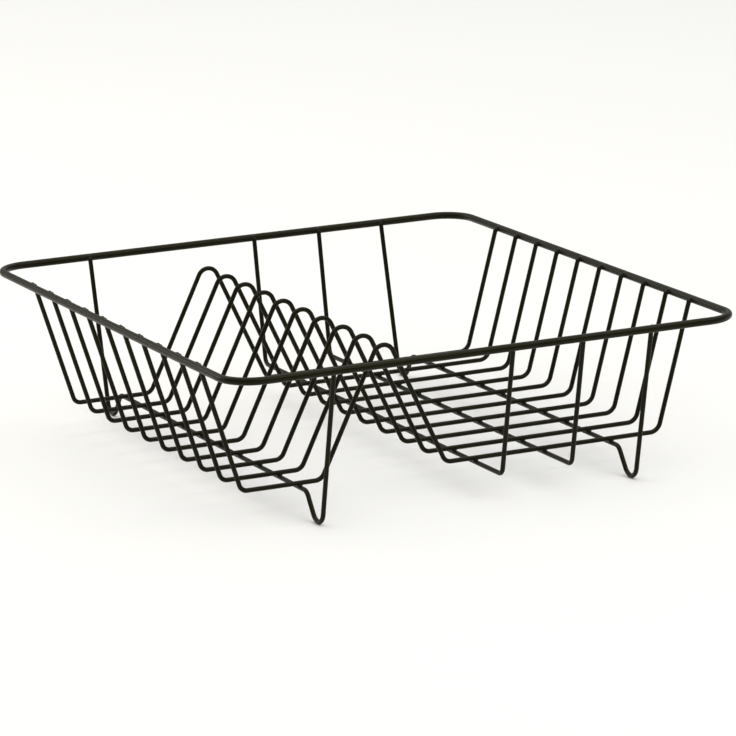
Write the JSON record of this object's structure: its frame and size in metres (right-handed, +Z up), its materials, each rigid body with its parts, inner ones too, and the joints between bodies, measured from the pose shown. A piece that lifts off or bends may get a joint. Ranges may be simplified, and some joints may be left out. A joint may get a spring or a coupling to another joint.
{
  "type": "dish drying rack",
  "caption": "Open dish drying rack of black coated wire: a thick rectangular rim, M-shaped plate wires hung across it, and cross wires below that dip into looped feet.",
  "frame": {"origin": "on the table, under the middle of the rim", "axes": "+Z up; X across the plates, from the plate side (-X) to the cup side (+X); Y along the row of plate wires, front at -Y"},
  "size_m": [0.3286, 0.3726, 0.0983],
  "materials": {
    "coated_rim_wire": "satin black plastic coating over steel wire",
    "coated_wire": "satin black plastic coating over steel wire"
  },
  "bodies": {
    "root": {"top_rim": "coated_rim_wire", "plate_wire_01": "coated_wire", "plate_wire_02": "coated_wire", "plate_wire_03": "coated_wire", "plate_wire_04": "coated_wire", "plate_wire_05": "coated_wire", "plate_wire_06": "coated_wire", "plate_wire_07": "coated_wire", "plate_wire_08": "coated_wire", "plate_wire_09": "coated_wire", "plate_wire_10": "coated_wire", "foot_wire_left": "coated_wire", "cross_wire_inner": "coated_wire", "cross_wire_outer": "coated_wire", "foot_wire_right": "coated_wire"}
  },
  "joints": []
}
